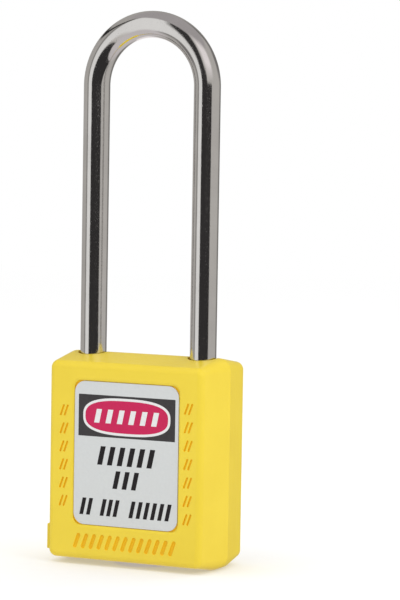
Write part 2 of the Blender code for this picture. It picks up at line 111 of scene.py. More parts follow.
# Side plug: a block that stands out of its seat on a spigot
SIDE_PLUG_LENGTH = 4.9 * MM
SIDE_PLUG_HEIGHT = 5.7 * MM
SIDE_PLUG_STAND = 0.62 * MM
SIDE_PLUG_SEAT = 0.8 * MM
SIDE_PLUG_ROUND = 0.22 * MM
SPIGOT_RADIUS = 1.0 * MM
SPIGOT_START = 1.2 * MM

# Shackle
NECK_RADIUS = 1.75 * MM
NECK_RISE = 2.0 * MM
NECK_SHOULDER = 0.25 * MM
END_CHAMFER = 0.5 * MM
NOTCH_DEPTH = 1.1 * MM

# Labels, their recesses and their print, which sit a little to the right on each face
LABEL_CORNER = 2.6 * MM
FACE_SHIFT = 0.3 * MM
PRINT_SHIFT = 0.42 * MM
RECESS_MARGIN = 0.08 * MM
FILM_ROUND = 0.1 * MM
RECESS_CORNER = 1.6 * MM
LIP_WIDTH = 0.80 * MM
LIP_DEPTH = 0.45 * MM
FLOOR_GAP = 0.05 * MM
INK = 0.02 * MM
STRIPE_LEAN = math.radians(12)

# Front print, in millimetres from the label's centre: a header with an oval field in it ...
HEADER_ABOVE_CENTRE = 8.54
HEADER_SIZE = (24.25, 9.4)
FIELD_OUTLINE_SIZE = (21.9, 8.4)
FIELD_SIZE = (20.75, 7.25)
# ... and rows of stripes: (height of the row, stripe height, spans, stripe width, pitch)
FIELD_ROW = (HEADER_ABOVE_CENTRE, 3.1, ((-8.6, 8.6),), 1.3, 2.87)
TEXT_ROWS = (
    (-0.35, 4.2, ((-7.45, 7.45),), 1.25, 2.48),
    (-5.65, 4.0, ((-3.5, 3.5),), 1.15, 2.33),
    (-12.05, 3.8, ((-11.6, -8.2), (-6.4, -1.5), (0.8, 11.6)), 0.95, 1.75),
)
# Rear print, in millimetres: a band above ruled lines
BAND_ABOVE_CENTRE = 10.75
BAND_SIZE = (24.05, 5.0)
RULED_LINES = 4
TOP_LINE_ABOVE_CENTRE = 3.85
LINE_PITCH = 5.4
LINE_SIZE = (22.0, 0.28)

# Cylinder: shell with its bible, plug and keyway
SHELL_RADIUS = SHELL_HIGH.x
HEAD_RADIUS = 4.9 * MM
HEAD_TOP = 3.6 * MM
CORE_RADIUS = 4.2 * MM
TAIL_RADIUS = 2.6 * MM
TAIL_TOP = 35.8 * MM
CLIP_GROOVE_RADIUS = 1.9 * MM
TANG_HALF = (2.2 * MM, 0.9 * MM)
BIBLE_HALF = 2.8 * MM
BIBLE_CORNER = 0.8 * MM
CHAMBER_RADIUS = 1.4 * MM
KEYWAY_TOP = 27.8 * MM
FACE_CHAMFER = 0.18 * MM
SPRING_WIRE_RADIUS = 0.14 * MM
SPRING_TURNS = 3.5

# Engraved marks: a column of paired strokes on each side of the label, a row of ribs below it
MARK_LEAN = math.radians(20)
MARK_DEPTH = 0.28 * MM
MARK_COLUMN = 15.6 * MM
MARK_PITCH = 4.1 * MM
MARK_SIZE = (2.7 * MM, 0.5 * MM)
MARK_PAIR = 1.0 * MM
MARKS_BELOW_CENTRE = 0.9 * MM
MARKS_LEFT, MARKS_RIGHT = 6, 7
RIBS = 13
RIB_PITCH = 2.0 * MM
RIB_SIZE = (3.6 * MM, 0.95 * MM)
RIBS_BELOW_CENTRE = 19.95 * MM

TO_REAR = Matrix.Rotation(math.pi, 4, "Z")

# Camera, placed so that the outline agrees with the photo's
CAMERA_YAW = math.radians(27.0)
CAMERA_PITCH = math.radians(3.9)
CAMERA_ROLL = math.radians(0.87)
CAMERA_DISTANCE = 0.675946
CAMERA_TARGET = Vector((0, 0, 0.0613))
CAMERA_AIM_RIGHT = 0.01160
CAMERA_AIM_UP = -0.001426
CAMERA_LENS = 179.7
SENSOR_WIDTH = 36


# ---------------- node helpers


class Graph:
    """A material's or world's node tree, with short calls for the nodes used here."""

    def __init__(self, tree):
        self.tree = tree
        self.coords = None

    def node(self, kind, **settings):
        made = self.tree.nodes.new(kind)
        for key, value in settings.items():
            setattr(made, key, value)
        return made

    def link(self, source, target):
        self.tree.links.new(source, target)

    def place(self, scale=(1, 1, 1), kind="Object"):
        if self.coords is None:
            self.coords = self.node("ShaderNodeTexCoord")
        mapping = self.node("ShaderNodeMapping")
        mapping.inputs["Scale"].default_value = scale
        self.link(self.coords.outputs[kind], mapping.inputs["Vector"])
        return mapping.outputs["Vector"]

    def noise(self, scale, detail=3, roughness=0.5, stretch=(1, 1, 1), kind="Object"):
        made = self.node("ShaderNodeTexNoise")
        made.inputs["Scale"].default_value = scale
        made.inputs["Detail"].default_value = detail
        made.inputs["Roughness"].default_value = roughness
        self.link(self.place(stretch, kind), made.inputs["Vector"])
        return made.outputs["Fac"]

    def span(self, value, low, high, out_low, out_high):
        made = self.node("ShaderNodeMapRange")
        made.inputs["From Min"].default_value = low
        made.inputs["From Max"].default_value = high
        made.inputs["To Min"].default_value = out_low
        made.inputs["To Max"].default_value = out_high
        self.link(value, made.inputs["Value"])
        return made.outputs["Result"]

    def mix(self, factor, first, second):
        made = self.node("ShaderNodeMix", data_type="RGBA")
        for socket, value in (("A_Color", first), ("B_Color", second), ("Factor_Float", factor)):
            target = next(s for s in made.inputs if s.identifier == socket)
            if isinstance(value, (tuple, list)):
                target.default_value = (*value, 1)
            elif isinstance(value, (int, float)):
                target.default_value = value
            else:
                self.link(value, target)
        return next(s for s in made.outputs if s.identifier == "Result_Color")

    def bump(self, height, strength, distance, normal=None):
        made = self.node("ShaderNodeBump")
        made.inputs["Strength"].default_value = strength
        made.inputs["Distance"].default_value = distance
        self.link(height, made.inputs["Height"])
        if normal is not None:
            self.link(normal, made.inputs["Normal"])
        return made.outputs["Normal"]

    def calc(self, operation, first, second):
        made = self.node("ShaderNodeMath", operation=operation)
        for socket, value in zip(made.inputs, (first, second)):
            if isinstance(value, (int, float)):
                socket.default_value = value
            else:
                self.link(value, socket)
        return made.outputs[0]

    def sum(self, first, second):
        return self.calc("ADD", first, second)

    def window(self, value, low, high, soft):
        """1 between low and high, falling to 0 within soft beyond them."""
        rise = self.span(value, low - soft, low, 0, 1)
        return self.calc("MULTIPLY", rise, self.span(value, high, high + soft, 1, 0))


def new_material(name, metallic, ior=1.5):
    material = bpy.data.materials.new(name)
    material.use_nodes = True
    shader = material.node_tree.nodes["Principled BSDF"]
    shader.inputs["Metallic"].default_value = metallic
    shader.inputs["IOR"].default_value = ior
    return material, Graph(material.node_tree), shader


def moulded_plastic(name, light, deep, roughness, specular=0.5):
    """Dyed thermoplastic: faint flow clouds, a fine mould grain and small handling marks."""
    material, graph, shader = new_material(name, 0, ior=1.5)
    shader.inputs["Specular IOR Level"].default_value = specular
    clouds = graph.span(graph.noise(90, detail=4), 0.35, 0.65, 0, 1)
    graph.link(graph.mix(clouds, light, deep), shader.inputs["Base Color"])
    grain = graph.noise(5200, detail=2)
    rub = graph.noise(700, detail=5, roughness=0.7, stretch=(1, 1, 0.25))
    rough = graph.sum(
        graph.span(rub, 0.3, 0.75, roughness - 0.05, roughness + 0.07),
        graph.span(grain, 0.3, 0.7, -0.02, 0.02),
    )
    graph.link(rough, shader.inputs["Roughness"])
    swell = graph.bump(graph.noise(260, detail=2), 0.10, 0.15 * MM)
    graph.link(graph.bump(grain, 0.16, 0.02 * MM, swell), shader.inputs["Normal"])
    return material


def chromed_steel(name):
    """Polished chrome plating over drawn rod: draw lines along it, tiny pits, faint haze."""
    material, graph, shader = new_material(name, 1)
    haze = graph.span(graph.noise(160, detail=4), 0.3, 0.7, 0, 1)
    base = graph.mix(haze, (0.80, 0.79, 0.775), (0.73, 0.72, 0.705))
    graph.link(base, shader.inputs["Base Color"])
    lines = graph.noise(1, detail=3, roughness=0.6, stretch=(2200, 60, 1), kind="UV")
    pits = graph.noise(4200, detail=2, roughness=0.6)
    rough = graph.sum(
        graph.span(lines, 0.3, 0.7, 0.05, 0.10), graph.span(pits, 0.58, 0.8, 0.0, 0.14)
    )
    graph.link(rough, shader.inputs["Roughness"])
    waves = graph.noise(1, detail=2, stretch=(420, 150, 1), kind="UV")
    wavy = graph.bump(waves, 0.30, 0.05 * MM)
    pitted = graph.bump(graph.span(pits, 0.60, 0.74, 1, 0), 0.20, 0.02 * MM, wavy)
    graph.link(graph.bump(lines, 0.10, 0.01 * MM, pitted), shader.inputs["Normal"])
    return material


def machined_metal(name, light, dark, roughness, stretch):
    """Turned or ground metal with tool lines; stretch sets which way the lines run."""
    material, graph, shader = new_material(name, 1)
    tone = graph.span(graph.noise(420, detail=4), 0.3, 0.7, 0, 1)
    graph.link(graph.mix(tone, light, dark), shader.inputs["Base Color"])
    lines = graph.noise(1, detail=3, roughness=0.65, stretch=stretch)
    graph.link(graph.span(lines, 0.3, 0.7, roughness, roughness + 0.16), shader.inputs["Roughness"])
    graph.link(graph.bump(lines, 0.22, 0.02 * MM), shader.inputs["Normal"])
    return material


def turned_brass(name, light, dark, roughness):
    """Brass turned about the Z axis: tool rings on its faces and round its sides, dull patches."""
    material, graph, shader = new_material(name, 1)
    tone = graph.span(graph.noise(420, detail=4), 0.3, 0.7, 0, 1)
    graph.link(graph.mix(tone, light, dark), shader.inputs["Base Color"])
    radius = graph.node("ShaderNodeVectorMath", operation="LENGTH")
    graph.link(graph.place((1, 1, 0)), radius.inputs[0])
    height = graph.node("ShaderNodeVectorMath", operation="DOT_PRODUCT")
    height.inputs[1].default_value = (0, 0, 1)
    graph.link(graph.place(), height.inputs[0])
    across = graph.node("ShaderNodeCombineXYZ")
    graph.link(radius.outputs["Value"], across.inputs["X"])
    graph.link(height.outputs["Value"], across.inputs["Y"])
    rings = graph.node("ShaderNodeTexNoise")
    rings.inputs["Scale"].default_value = 5200
    rings.inputs["Detail"].default_value = 2
    graph.link(across.outputs[0], rings.inputs["Vector"])
    lines = rings.outputs["Fac"]
    graph.link(graph.span(lines, 0.3, 0.7, roughness, roughness + 0.14), shader.inputs["Roughness"])
    graph.link(graph.bump(lines, 0.25, 0.02 * MM), shader.inputs["Normal"])
    return material


def printed_film(name, light, dark, roughness, specular=0.5):
    """Satin film or a layer of ink on it: paper-fine mottling and a soft ripple."""
    material, graph, shader = new_material(name, 0, ior=1.46)
    shader.inputs["Specular IOR Level"].default_value = specular
    mottle = graph.span(graph.noise(1500, detail=4, roughness=0.65), 0.3, 0.7, 0, 1)
    graph.link(graph.mix(mottle, light, dark), shader.inputs["Base Color"])
    fine = graph.noise(3800, detail=2)
    graph.link(graph.span(fine, 0.3, 0.7, roughness - 0.04, roughness + 0.06), shader.inputs["Roughness"])
    ripple = graph.bump(graph.noise(180, detail=2), 0.06, 0.12 * MM)
    graph.link(graph.bump(fine, 0.1, 0.012 * MM, ripple), shader.inputs["Normal"])
    return material


YELLOW = moulded_plastic("yellow_plastic", (0.795, 0.602, 0.036), (0.77, 0.578, 0.032), 0.34)
# Darker orange yellow for engraving, recesses, bores and holes: painted shade, standing in for the shade
# that falls inside them.
SHADE_PAINTED_YELLOW = moulded_plastic("shade_painted_yellow", (0.83, 0.49, 0.008), (0.80, 0.45, 0.006), 0.42, 0.25)
CHROME = chromed_steel("chrome")
FILM = printed_film("label_ground", (0.595, 0.612, 0.610), (0.570, 0.587, 0.586), 0.42)
INK_BLACK = printed_film("ink_black", (0.030, 0.027, 0.029), (0.040, 0.037, 0.038), 0.40)
INK_DEEP = printed_film("ink_deep_black", (0.012, 0.010, 0.011), (0.018, 0.015, 0.017), 0.45, 0.22)
INK_RED = printed_film("ink_crimson", (0.545, 0.007, 0.084), (0.51, 0.005, 0.074), 0.38, 0.4)
INK_WHITE = printed_film("ink_white", (0.74, 0.74, 0.74), (0.70, 0.70, 0.70), 0.40)
BRASS_TURNED = turned_brass("turned_brass", (0.82, 0.62, 0.31), (0.72, 0.52, 0.24), 0.22)
BRASS_PINS = machined_metal("pin_brass_turned", (0.84, 0.66, 0.36), (0.74, 0.55, 0.28), 0.20, (5000, 60, 60))
STEEL_GROUND = machined_metal("ground_steel", (0.62, 0.62, 0.63), (0.52, 0.52, 0.53), 0.20, (70, 5200, 5200))
STEEL_DRAWN = machined_metal("drawn_steel", (0.55, 0.55, 0.57), (0.43, 0.43, 0.45), 0.26, (4000, 4000, 300))


# ---------------- shape helpers


def put(name, bm, *materials):
    mesh = bpy.data.meshes.new(name)
    bm.to_mesh(mesh)
    bm.free()
    obj = bpy.data.objects.new(name, mesh)
    bpy.context.scene.collection.objects.link(obj)
    for material in materials:
        mesh.materials.append(material)
    return obj


def smooth(obj, angle=32, weighted=True):
    obj.data.shade_smooth()
    obj.data.set_sharp_from_angle(angle=math.radians(angle))
    if weighted:
        modifier = obj.modifiers.new("flat faces stay flat", "WEIGHTED_NORMAL")
        modifier.keep_sharp = True
        modifier.weight = 100
    return obj


def bake(obj):
    """The object's evaluated mesh replaces its mesh and modifiers."""
    bpy.context.view_layer.update()
    graph = bpy.context.evaluated_depsgraph_get()
    mesh = bpy.data.meshes.new_from_object(obj.evaluated_get(graph))
    obj.modifiers.clear()
    obj.data = mesh
    return obj


def paint(obj, material):
    """One material over the whole piece."""
    for polygon in obj.data.polygons:
        polygon.material_index = 0
    obj.data.materials.clear()
    obj.data.materials.append(material)


def stand_for(obj, node, body):
    """The piece is seen instead of a CAD node, on a CAD body."""
    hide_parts(node)
    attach(obj, body)


def drop(*objects):
    for obj in objects:
        bpy.data.objects.remove(obj, do_unlink=True)


def round_rectangle(width, height, corner, steps=10, centre=(0, 0)):
    """Outline of a rectangle with round corners, anticlockwise from its right side."""
    points = []
    for quarter, (sx, sy) in enumerate(((1, 1), (-1, 1), (-1, -1), (1, -1))):
        cx = centre[0] + sx * (width / 2 - corner)
        cy = centre[1] + sy * (height / 2 - corner)
        for step in range(steps + 1):
            angle = (quarter + step / steps) * math.pi / 2
            points.append((cx + corner * math.cos(angle), cy + corner * math.sin(angle)))
    return points


def oval(width, height, centre, power=2.75, steps=96):
    """Outline of an ellipse with full shoulders, anticlockwise from its right side."""
    points = []
    for step in range(steps):
        angle = 2 * math.pi * step / steps
        across, up = math.cos(angle), math.sin(angle)
        x = math.copysign(abs(across) ** (2 / power), across) * width / 2
        y = math.copysign(abs(up) ** (2 / power), up) * height / 2
        points.append((centre[0] + x, centre[1] + y))
    return points


def stroke_outline(centre, length, width, lean, steps=5):
    """Outline of a straight stroke with round ends, leaning from upright."""
    turn = Matrix.Rotation(-lean, 2)
    flat = round_rectangle(width, length, width / 2 * 0.98, steps)
    return [tuple(turn @ Vector(point) + Vector(centre)) for point in flat]


def loft_into(bm, rings, material_of_band):
    """A closed solid through rings of equal length, capped at both ends, added to bm."""
    loops = [[bm.verts.new(point) for point in ring] for ring in rings]
    count = len(loops[0])
    faces = []
    for band, (one, two) in enumerate(zip(loops, loops[1:])):
        for i in range(count):
            j = (i + 1) % count
            face = bm.faces.new((one[i], one[j], two[j], two[i]))
            face.material_index = material_of_band(band)
            faces.append(face)
    for loop, band in ((loops[0], 0), (loops[-1], len(loops) - 2)):
        cap = bm.faces.new(loop)
        cap.material_index = material_of_band(band)
        faces.append(cap)
    bmesh.ops.recalc_face_normals(bm, faces=faces)


def front_plate(name, levels, outline, materials, material_of_band=lambda band: 0):
    """A plate facing -Y. Each level is (growth of the outline, distance from the middle plane)."""
    bm = bmesh.new()
    rings = [[(x, -depth, z) for x, z in outline(growth)] for growth, depth in levels]
    loft_into(bm, rings, material_of_band)
    return put(name, bm, *materials)


def turned_cutter(name, radius, low, high, axis, across, sides=64):
    """A round cutter along an axis, from low to high; across is its place on the other axes."""
    bm = bmesh.new()
    bmesh.ops.create_cone(
        bm, cap_ends=True, segments=sides, radius1=radius, radius2=radius, depth=high - low
    )
    middle = (low + high) / 2
    if axis == "X":
        place = Matrix.Translation((middle, *across)) @ Matrix.Rotation(math.pi / 2, 4, "Y")
    elif axis == "Y":
        x, z = across
        place = Matrix.Translation((x, middle, z)) @ Matrix.Rotation(math.pi / 2, 4, "X")
    else:
        place = Matrix.Translation((*across, middle))
    bm.transform(place)
    # The faces it cuts into the body carry the darker orange yellow, painted shade.
    return put(name, bm, SHADE_PAINTED_YELLOW)


def box_cutter(name, low, high, place=Matrix.Identity(4)):
    bm = bmesh.new()
    bmesh.ops.create_cube(bm, size=1)
    size = [b - a for a, b in zip(low, high)]
    bmesh.ops.scale(bm, vec=size, verts=bm.verts)
    bmesh.ops.translate(bm, vec=[(a + b) / 2 for a, b in zip(low, high)], verts=bm.verts)
    bm.transform(place)
    # The faces it cuts into the body carry the darker orange yellow, painted shade.
    return put(name, bm, SHADE_PAINTED_YELLOW)


def upright(name, outline, low, high, material):
    """A solid with a flat outline, standing from low to high."""
    bm = bmesh.new()
    loft_into(bm, [[(x, y, z) for x, y in outline] for z in (low, high)], lambda band: 0)
    return put(name, bm, material)


def ring_angles(sides):
    return [2 * math.pi * i / sides for i in range(sides)]


def turned(name, profile, material, sides=96):
    """A solid of revolution about the Z axis; profile is (radius, height) from bottom to top."""
    bm = bmesh.new()
    rings = [
        [(radius * math.cos(a), radius * math.sin(a), z) for a in ring_angles(sides)]
        for radius, z in profile
    ]
    loft_into(bm, rings, lambda band: 0)
    return put(name, bm, material)


def carve(target, cutters, mode="DIFFERENCE"):
    for cutter in cutters:
        modifier = target.modifiers.new(cutter.name, "BOOLEAN")
        modifier.operation = mode
        modifier.solver = "EXACT"
        modifier.material_mode = "TRANSFER"
        modifier.object = cutter
    bake(target)
    drop(*cutters)


# ---------------- body


def facet_reach(depth, front, slope, rounding):
    """How far out a facet lies at a distance from mid-depth, with its front edge rounded."""
    lean = math.atan(slope)
    centre = HALF_DEPTH - rounding
    if depth > centre + rounding * math.sin(lean):
        out = front + slope * rounding - rounding / math.cos(lean)
        return out + math.sqrt(max(0, rounding**2 - (depth - centre) ** 2))
    return front + slope * (HALF_DEPTH - math.hypot(depth, RIDGE_SOFTENING))


def body_section(depth):
    """Half width, bottom, top and corner radius of the body's outline at a distance from mid-depth."""
    front = BODY_HIGH.x - FRONT_INSET
    half = facet_reach(depth, front, FRONT_INSET / HALF_DEPTH, SIDE_ROUND)
    top = facet_reach(depth, BODY_HIGH.z - ROOF_DROP, ROOF_DROP / HALF_DEPTH, TOP_ROUND)
    bottom_slope = BOTTOM_RISE / (HALF_DEPTH - LAND_HALF_DEPTH)
    bottom = max(0, -facet_reach(depth, -BOTTOM_RISE, bottom_slope, BOTTOM_ROUND))
    unrounded = front + FRONT_INSET * (1 - depth / HALF_DEPTH)
    corner = RIDGE_CORNER + (FRONT_CORNER - RIDGE_CORNER) * depth / HALF_DEPTH
    return half, bottom, top, corner - max(0, unrounded - half)


def body_block():
    """The six-sided block with ridged sides, roof and bottom, lofted from its back to its front."""
    near_ridge, beside_land = (0.15 * MM, 0.3 * MM, 0.6 * MM), 0.2 * MM
    depths = [0, *near_ridge]
    depths += [LAND_HALF_DEPTH + shift for shift in (-beside_land, 0, beside_land)]
    steps, first_angle = 12, 8
    for step in range(steps + 1):
        angle = math.radians(first_angle + (90 - first_angle) * step / steps)
        depths.append(HALF_DEPTH - TOP_ROUND * (1 - math.sin(angle)))
    rings = []
    for place in [*reversed(depths), *(-d for d in depths[1:])]:
        half, bottom, top, corner = body_section(abs(place))
        outline = round_rectangle(2 * half, top - bottom, corner, 10, (0, (top + bottom) / 2))
        rings.append([(x, place, z) for x, z in outline])
    bm = bmesh.new()
    loft_into(bm, rings, lambda band: 0)
    return put("lock_body_moulding", bm, YELLOW, SHADE_PAINTED_YELLOW)


def recess_cutter(name, facing):
    """A label recess with a rounded lip; facing is 1 for the front and -1 for the rear.

    Its floor and walls are a darker orange yellow, painted shade, which only shows at the corners, and its
    lip is yellow.
    """
    floor = LABEL_BACK - FLOOR_GAP
    steps = 6
    levels = [(0, floor), (0, HALF_DEPTH - LIP_DEPTH)]
    for step in range(1, steps + 1):
        angle = step / steps * math.pi / 2
        growth = LIP_WIDTH * (1 - math.cos(angle))
        levels.append((growth, HALF_DEPTH - LIP_DEPTH + LIP_DEPTH * math.sin(angle)))
    levels.append((LIP_WIDTH, HALF_DEPTH + MM))

    def outline(growth):
        margin = RECESS_MARGIN + growth
        return round_rectangle(
            LABEL_WIDTH + 2 * margin,
            LABEL_HEIGHT + 2 * margin,
            RECESS_CORNER + margin,
            steps=14,
            centre=(FACE_SHIFT, LABEL_CENTRE),
        )

    cutter = front_plate(
        name, levels, outline, (SHADE_PAINTED_YELLOW, YELLOW), lambda band: 1 if band > 1 else 0
    )
    if facing < 0:
        cutter.data.transform(TO_REAR)
        cutter.data.update()
    return cutter


def mark_strokes():
    """(centre, length, width) of every engraved stroke on one face of the body."""
    strokes = []
    for side, count in ((-1, MARKS_LEFT), (1, MARKS_RIGHT)):
        x = FACE_SHIFT + side * MARK_COLUMN
        for index in range(count):
            z = LABEL_CENTRE - MARKS_BELOW_CENTRE + (index - (count - 1) / 2) * MARK_PITCH
            strokes += [((x + shift * MARK_PAIR, z), *MARK_SIZE) for shift in (-0.5, 0.5)]
    for index in range(RIBS):
        x = FACE_SHIFT + (index - (RIBS - 1) / 2) * RIB_PITCH
        strokes.append(((x, LABEL_CENTRE - RIBS_BELOW_CENTRE), *RIB_SIZE))
    return strokes


def marks_cutter(name, facing):
    """All engraved strokes of one face, each with walls that slope in towards its floor."""
    bm = bmesh.new()
    # (growth as a share of the stroke's half width, level above the face)
    levels = ((0.0, MM / 2), (0.0, 0.0), (-0.3, -MARK_DEPTH * 0.7), (-0.5, -MARK_DEPTH))
    for centre, length, width in mark_strokes():
        rings = []
        for growth, level in levels:
            step_in = growth * width / 2
            outline = stroke_outline(centre, length + 2 * step_in, width + 2 * step_in, MARK_LEAN)
            rings.append([(x, -HALF_DEPTH - level, z) for x, z in outline])
        loft_into(bm, rings, lambda band: 0)
    if facing < 0:
        bm.transform(TO_REAR)
    # The strokes' walls and floors are the darker orange yellow: painted shade in the grooves.
    return put(name, bm, SHADE_PAINTED_YELLOW)


def side_facet():
    """Place of the small side plug: its centre on the left front facet, X pointing inwards."""
    lean = math.atan2(FRONT_INSET, HALF_DEPTH)
    y = (PLUG_LOW.y + PLUG_HIGH.y) / 2
    x = -(BODY_HIGH.x - FRONT_INSET + (y + HALF_DEPTH) * math.tan(lean))
    z = (PLUG_LOW.z + PLUG_HIGH.z) / 2
    return Matrix.Translation((x, y, z)) @ Matrix.Rotation(lean, 4, "Z")


def soften_rims(body):
    """A small rounding on the rims of the leg bores and of the cylinder's mouth."""
    bm = bmesh.new()
    bm.from_mesh(body.data)
    sharp, near = math.radians(50), 0.02 * MM
    bore_radius, cylinder_reach = ROD + MOUTH_GAP, SHELL_HIGH.y + 1.2 * MM
    rims = []
    for edge in bm.edges:
        if len(edge.link_faces) != 2 or edge.calc_face_angle(0) < sharp:
            continue
        points = [v.co for v in edge.verts]
        on_bore = all(
            abs(math.hypot(abs(p.x) - LEG, p.y) - bore_radius) < near for p in points
        ) and max(p.z for p in points) > BODY_HIGH.z - MM
        on_mouth = all(
            p.z < BOTTOM_RISE and math.hypot(p.x, p.y) < cylinder_reach for p in points
        )
        if on_bore or on_mouth:
            rims.append(edge)
    bmesh.ops.bevel(
        bm, geom=rims, offset=RIM_ROUND, segments=3, profile=0.5, affect="EDGES", clamp_overlap=False
    )
    bm.to_mesh(body.data)
    bm.free()


def bore(name, x, radius, floor):
    """A cutter for a leg's bore, or for the wider mouth at its top."""
    return turned_cutter(name, radius, floor, BODY_HIGH.z + OVERCUT, "Z", (x, 0))


def make_body():
    body = body_block()
    side_room, seat_room = SIDE_PLUG_LENGTH / 2 + GAP, SIDE_PLUG_HEIGHT / 2 + GAP
    bible = round_rectangle(
        2 * (BIBLE_HALF + GAP),
        2 * (SHELL_HIGH.y + GAP - SHELL_RADIUS / 2),
        BIBLE_CORNER + GAP,
        centre=(0, SHELL_RADIUS / 2),
    )
    cavity_top, mouth_floor = CAM_HIGH.z + CAVITY_ABOVE_CAM, BODY_HIGH.z - MOUTH_DEPTH
    channel, hole = BALL_RADIUS + HOLE_GAP, PIN_RADIUS + HOLE_GAP
    cross_start, cross_end = -BODY_HIGH.x - OVERCUT, CROSS_HIGH.x + GAP
    # Every face the cutters leave keeps their darker orange yellow: painted shade in the bores, holes, seat,
    # recesses and engraving.
    carve(
        body,
        [
            turned_cutter("cavity", SHELL_RADIUS + GAP, -OVERCUT, cavity_top, "Z", (0, 0)),
            upright("bible", bible, -OVERCUT, SHELL_HIGH.z + GAP, SHADE_PAINTED_YELLOW),
            bore("toe_bore", LEG, ROD + BORE_GAP, TOE_END - 2 * GAP),
            bore("heel_bore", -LEG, ROD + BORE_GAP, SHACKLE_LOW.z - 2 * GAP),
            bore("toe_mouth", LEG, ROD + MOUTH_GAP, mouth_floor),
            bore("heel_mouth", -LEG, ROD + MOUTH_GAP, mouth_floor),
            turned_cutter("ball_channel", channel, -LEG, LEG, "X", (0, BALL_HEIGHT), 40),
            turned_cutter("pin_hole", hole, -LEG, 0, "X", (0, PIN_HEIGHT), 24),
            turned_cutter("cross_hole", hole, cross_start, cross_end, "X", CROSS_PLACE, 24),
            box_cutter(
                "seat",
                (-OVERCUT, -side_room, -seat_room),
                (SIDE_PLUG_SEAT + GAP, side_room, seat_room),
                side_facet(),
            ),
            recess_cutter("front_recess", 1),
            recess_cutter("rear_recess", -1),
            marks_cutter("front_marks", 1),
            marks_cutter("rear_marks", -1),
        ],
    )
    soften_rims(body)
    smooth(body, 40)
    stand_for(body, "body_shell", "lock_body")


def make_side_plug():
    """The small snap-in plug: a block with rounded edges on a round spigot."""
    cap = box_cutter(
        "side_plug_cap",
        (-SIDE_PLUG_STAND, -SIDE_PLUG_LENGTH / 2, -SIDE_PLUG_HEIGHT / 2),
        (SIDE_PLUG_SEAT, SIDE_PLUG_LENGTH / 2, SIDE_PLUG_HEIGHT / 2),
    )
    bevel = cap.modifiers.new("rounded edges", "BEVEL")
    bevel.width = SIDE_PLUG_ROUND
    bevel.segments = 4
    bake(cap)
    cap.data.transform(side_facet())
    start = PLUG_LOW.x + SPIGOT_START
    spigot = turned_cutter("spigot", SPIGOT_RADIUS, start, PLUG_HIGH.x, "X", CROSS_PLACE, 32)
    carve(cap, [spigot], "UNION")
    paint(cap, YELLOW)
    smooth(cap, 40)
    stand_for(cap, "side_plug", "lock_body")


# ---------------- shackle


def shackle_stations():
    """(x, z, angle of the path, radius) along the shackle's centre line, heel end to toe end.

    The angle is that of the path's direction above +X, so that up the heel leg it is 90 degrees.
    """
    neck_low, neck_high = SHACKLE_LOW.z + NECK_RISE, PIN_HIGH.z + GAP
    step_in = NECK_SHOULDER
    up, down = math.pi / 2, -math.pi / 2
    heel = [
        (SHACKLE_LOW.z, ROD - END_CHAMFER),
        (SHACKLE_LOW.z + END_CHAMFER, ROD),
        (neck_low - step_in, ROD),
        (neck_low, ROD - step_in),
        (neck_low, NECK_RADIUS + step_in),
        (neck_low + step_in, NECK_RADIUS),
        (neck_high - step_in, NECK_RADIUS),
        (neck_high, NECK_RADIUS + step_in),
        (neck_high, ROD - step_in),
        (neck_high + step_in, ROD),
    ]
    stations = [(-LEG, z, up, radius) for z, radius in heel]
    length = ARCH_CENTRE - neck_high
    rows = 24
    stations += [(-LEG, neck_high + length * i / rows, up, ROD) for i in range(1, rows)]
    arch_steps = 96
    for step in range(arch_steps + 1):
        angle = math.pi * (1 - step / arch_steps)
        x, z = LEG * math.cos(angle), ARCH_CENTRE + LEG * math.sin(angle)
        stations.append((x, z, angle - math.pi / 2, ROD))
    length = ARCH_CENTRE - TOE_END - END_CHAMFER
    stations += [(LEG, ARCH_CENTRE - length * i / rows, down, ROD) for i in range(1, rows + 1)]
    stations.append((LEG, TOE_END, down, ROD - END_CHAMFER))
    return stations


def make_shackle():
    """The bent rod, its UV map in metres around and along it, with a ball notch in each leg."""
    sides = 72
    bm = bmesh.new()
    uv_layer = bm.loops.layers.uv.new("around_and_along")
    loops, along, travelled, last = [], [], 0, None
    for x, z, angle, radius in shackle_stations():
        if last is not None:
            travelled += math.hypot(x - last[0], z - last[1], radius - last[2])
        last = (x, z, radius)
        along.append(travelled)
        across = Vector((-math.sin(angle), 0, math.cos(angle)))
        ring = []
        for turn in ring_angles(sides):
            offset = across * math.cos(turn) + Vector((0, math.sin(turn), 0))
            ring.append(bm.verts.new(Vector((x, 0, z)) + offset * radius))
        loops.append(ring)
    circumference = 2 * math.pi * ROD
    for row, (one, two) in enumerate(zip(loops, loops[1:])):
        for i in range(sides):
            j = (i + 1) % sides
            face = bm.faces.new((one[i], two[i], two[j], one[j]))
            corners = ((i, row), (i, row + 1), (i + 1, row + 1), (i + 1, row))
            for corner, (turn, station) in zip(face.loops, corners):
                corner[uv_layer].uv = (turn / sides * circumference, along[station])
    bm.faces.new(loops[0])
    bm.faces.new(loops[-1])
    bmesh.ops.recalc_face_normals(bm, faces=bm.faces)
    shackle = put("chromed_shackle", bm, CHROME)
    radius, ball_out = BALL_RADIUS + HOLE_GAP, LEG - ROD + NOTCH_DEPTH - BALL_RADIUS
    notches = [
        turned_cutter(name, radius, -2 * ROD, 2 * ROD, "Y", (side * ball_out, BALL_HEIGHT), 48)
        for name, side in (("heel_notch", -1), ("toe_notch", 1))
    ]
    carve(shackle, notches)
    paint(shackle, CHROME)
    smooth(shackle, 30)
    stand_for(shackle, "shackle", "shackle")


# ---------------- cylinder


